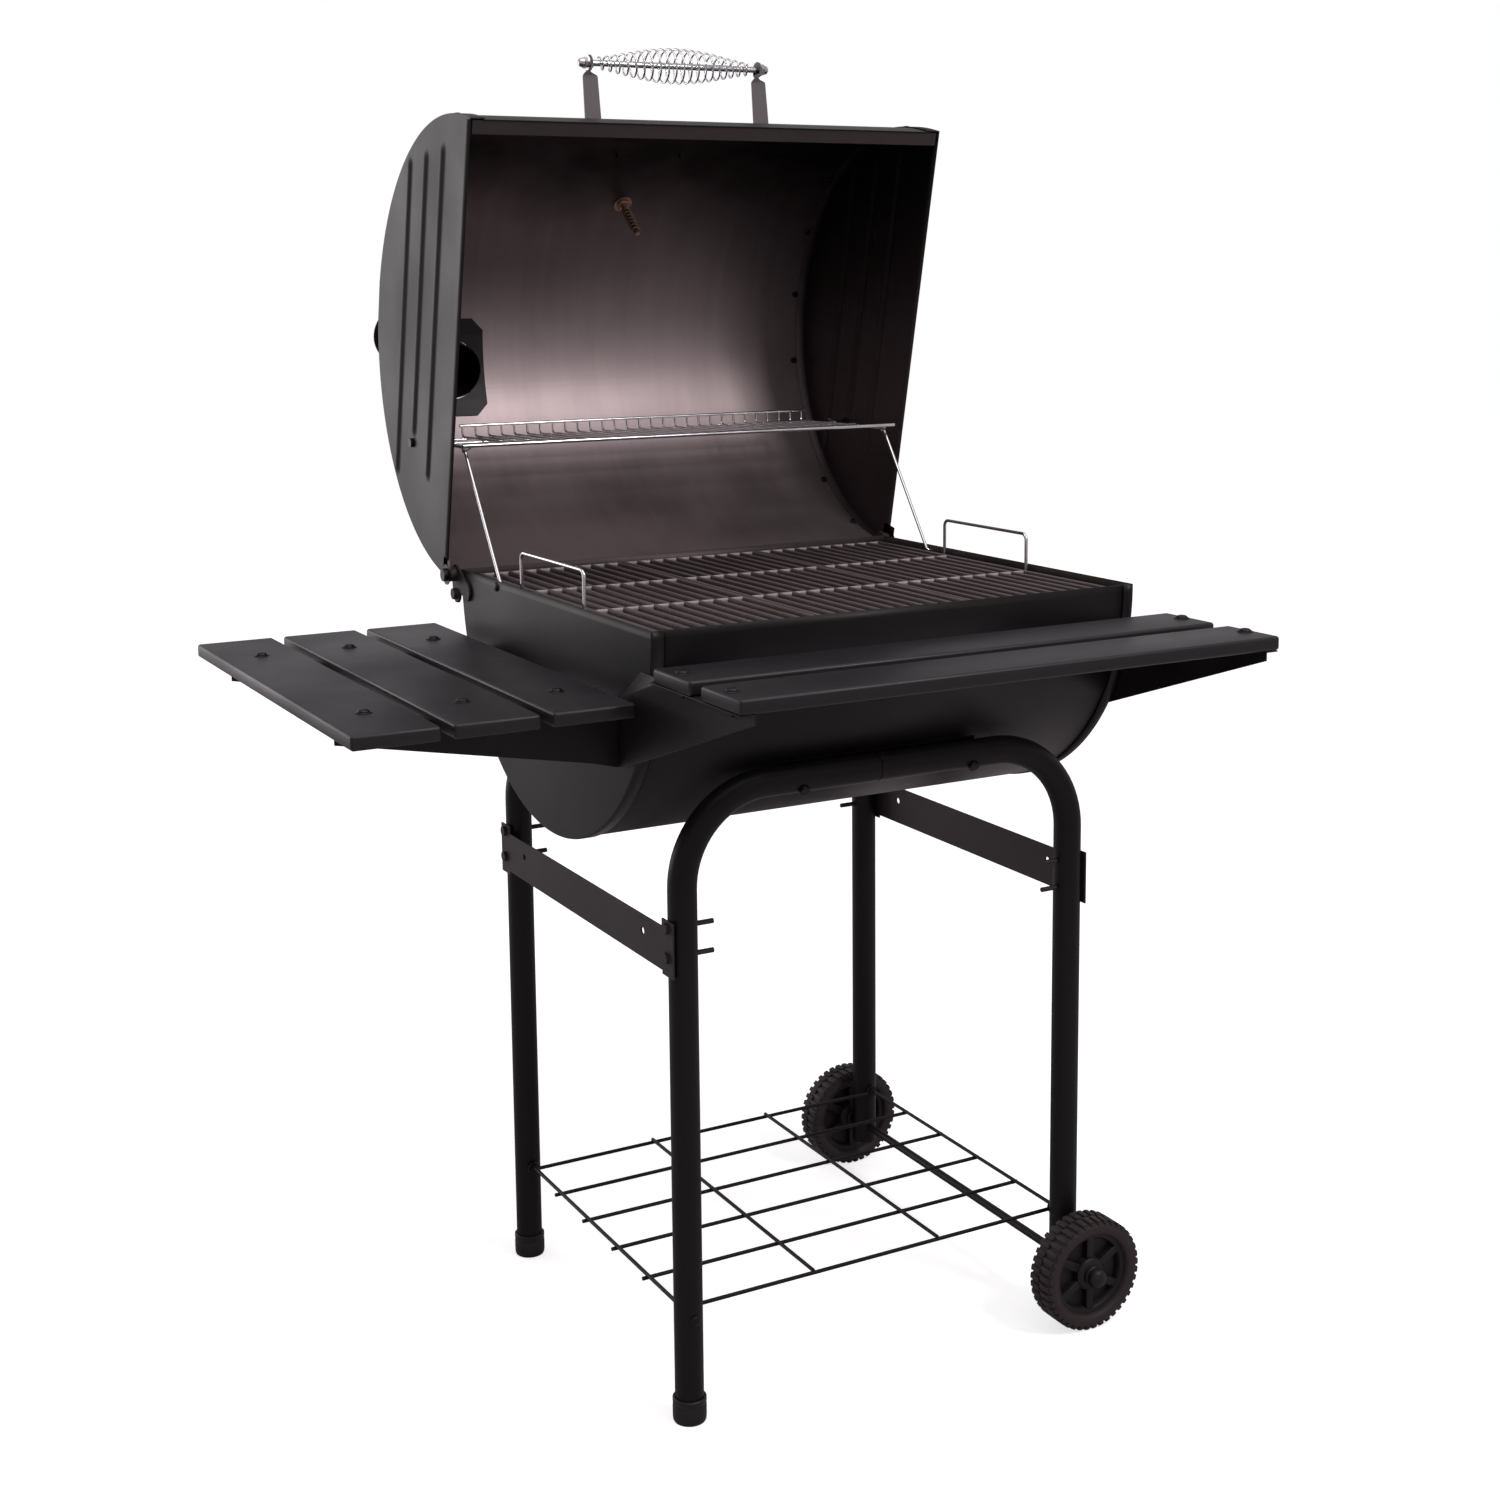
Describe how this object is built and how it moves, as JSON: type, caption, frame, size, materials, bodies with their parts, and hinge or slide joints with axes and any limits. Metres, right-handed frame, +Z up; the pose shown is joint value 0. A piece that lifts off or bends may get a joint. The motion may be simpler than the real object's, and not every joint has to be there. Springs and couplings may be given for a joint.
{
  "type": "barrel charcoal grill",
  "caption": "Half-barrel charcoal grill on a tubular cart with its hinged lid open, swing-up warming rack, cast grates, chimney, and front and side slatted shelves.",
  "frame": {"origin": "centre of the bounding box on the ground", "axes": "+Z up, +X to the right of the person cooking, -Y toward them"},
  "size_m": [0.941, 1.1798, 1.5089],
  "materials": {
    "powder_coat": "matte black heat-resistant powder coat",
    "seasoned_steel": "dark bare steel",
    "cast_iron": "brown-black seasoned casting",
    "chrome_wire": "bright plated wire",
    "black_wood": "satin black stain",
    "black_plastic": "moulded black",
    "wheel_plastic": "matte moulded, dark",
    "zinc_plate": "dull zinc plate",
    "needle_red": "red enamel"
  },
  "bodies": {
    "cart": {"cart_tube_front_left": "powder_coat", "cart_tube_front_right": "powder_coat", "cart_tube_rear_left": "powder_coat", "cart_tube_rear_right": "powder_coat", "saddle_front": "powder_coat", "saddle_rear": "powder_coat", "side_strap_left": "powder_coat", "side_strap_right": "powder_coat", "lower_rack": "powder_coat", "axle": "powder_coat", "hub_cap_front": "black_plastic", "hub_cap_rear": "black_plastic", "foot_cap_front": "black_plastic", "foot_cap_rear": "black_plastic", "barrel_shell": "powder_coat", "barrel_end_left": "powder_coat", "barrel_end_right": "powder_coat", "grate_ledge_front": "seasoned_steel", "grate_ledge_rear": "seasoned_steel", "hinge_bracket_left": "powder_coat", "hinge_bracket_right": "powder_coat", "hinge_pin_left": "zinc_plate", "hinge_pin_right": "zinc_plate", "side_slat_1": "black_wood", "side_slat_2": "black_wood", "side_slat_3": "black_wood", "front_slat_1": "black_wood", "front_slat_2": "black_wood", "side_bracket_front": "powder_coat", "side_bracket_rear": "powder_coat", "front_bracket_left": "powder_coat", "front_bracket_right": "powder_coat"},
    "lid": {"lid_shell": "powder_coat", "lid_end_left": "powder_coat", "lid_end_right": "powder_coat", "lid_lip": "powder_coat", "rack_pivot_left": "zinc_plate", "rack_pivot_right": "zinc_plate", "chimney_pipe": "powder_coat", "chimney_flange": "powder_coat", "handle_strap_left": "powder_coat", "handle_strap_right": "powder_coat", "handle_rod": "chrome_wire", "handle_coil": "chrome_wire", "thermometer_case": "zinc_plate", "thermometer_probe": "zinc_plate"},
    "warming_rack": {"warming_rack": "chrome_wire"},
    "rack_legs": {"rack_leg_left": "chrome_wire", "rack_leg_right": "chrome_wire"},
    "charcoal_tray": {"charcoal_grate": "seasoned_steel", "lift_handle_left": "chrome_wire", "lift_handle_right": "chrome_wire"},
    "cooking_grate_left": {"cooking_grate_left": "cast_iron"},
    "cooking_grate_middle": {"cooking_grate_middle": "cast_iron"},
    "cooking_grate_right": {"cooking_grate_right": "cast_iron"},
    "wheel_front": {"wheel_front": "wheel_plastic"},
    "wheel_rear": {"wheel_rear": "wheel_plastic"},
    "chimney_cap": {"chimney_cap": "powder_coat"},
    "air_damper": {"air_damper": "powder_coat"},
    "thermometer_needle": {"thermometer_needle": "needle_red"}
  },
  "joints": [
    {"name": "lid_hinge", "type": "hinge", "parent": "cart", "child": "lid", "pos_m": [0.147, 0.17215, 0.872], "axis": [1, 0, 0], "range_deg": [0, 76.4]},
    {"name": "rack_swing", "type": "hinge", "parent": "lid", "child": "warming_rack", "pos_m": [0.147, 0.28015, 1.026], "axis": [1, 0, 0], "range_deg": [-76.4, 0]},
    {"name": "rack_leg_swing", "type": "hinge", "parent": "cart", "child": "rack_legs", "pos_m": [0.147, 0.04415, 0.872], "axis": [1, 0, 0], "range_deg": [0, 76.4]},
    {"name": "charcoal_lift", "type": "slide", "parent": "cart", "child": "charcoal_tray", "axis": [0, 0, 1], "range_m": [0, 0.05]},
    {"name": "cooking_grate_left_lift", "type": "slide", "parent": "cart", "child": "cooking_grate_left", "axis": [0, 0, 1], "range_m": [0, 0.04]},
    {"name": "cooking_grate_middle_lift", "type": "slide", "parent": "cart", "child": "cooking_grate_middle", "axis": [0, 0, 1], "range_m": [0, 0.04]},
    {"name": "cooking_grate_right_lift", "type": "slide", "parent": "cart", "child": "cooking_grate_right", "axis": [0, 0, 1], "range_m": [0, 0.04]},
    {"name": "wheel_front_roll", "type": "hinge", "parent": "cart", "child": "wheel_front", "pos_m": [0.397, -0.36585, 0.0665], "axis": [0, 1, 0], "continuous": true},
    {"name": "wheel_rear_roll", "type": "hinge", "parent": "cart", "child": "wheel_rear", "pos_m": [0.397, 0.17015, 0.0665], "axis": [0, 1, 0], "continuous": true},
    {"name": "chimney_cap_swivel", "type": "hinge", "parent": "lid", "child": "chimney_cap", "pos_m": [-0.075, 0.58458, 1.11153], "axis": [0, 0.9755, 0.2198], "range_deg": [0, 100]},
    {"name": "air_damper_turn", "type": "hinge", "parent": "cart", "child": "air_damper", "pos_m": [0.4505, -0.10485, 0.7], "axis": [1, 0, 0], "range_deg": [0, 60]},
    {"name": "needle_turn", "type": "hinge", "parent": "lid", "child": "thermometer_needle", "pos_m": [0.147, 0.33463, 1.33317], "axis": [0, 0.7431, 0.6691], "range_deg": [0, 240]}
  ],
  "couplings": [
    {"joint": "rack_swing", "follows": "lid_hinge", "ratio": -1},
    {"joint": "rack_leg_swing", "follows": "lid_hinge", "ratio": 1}
  ]
}
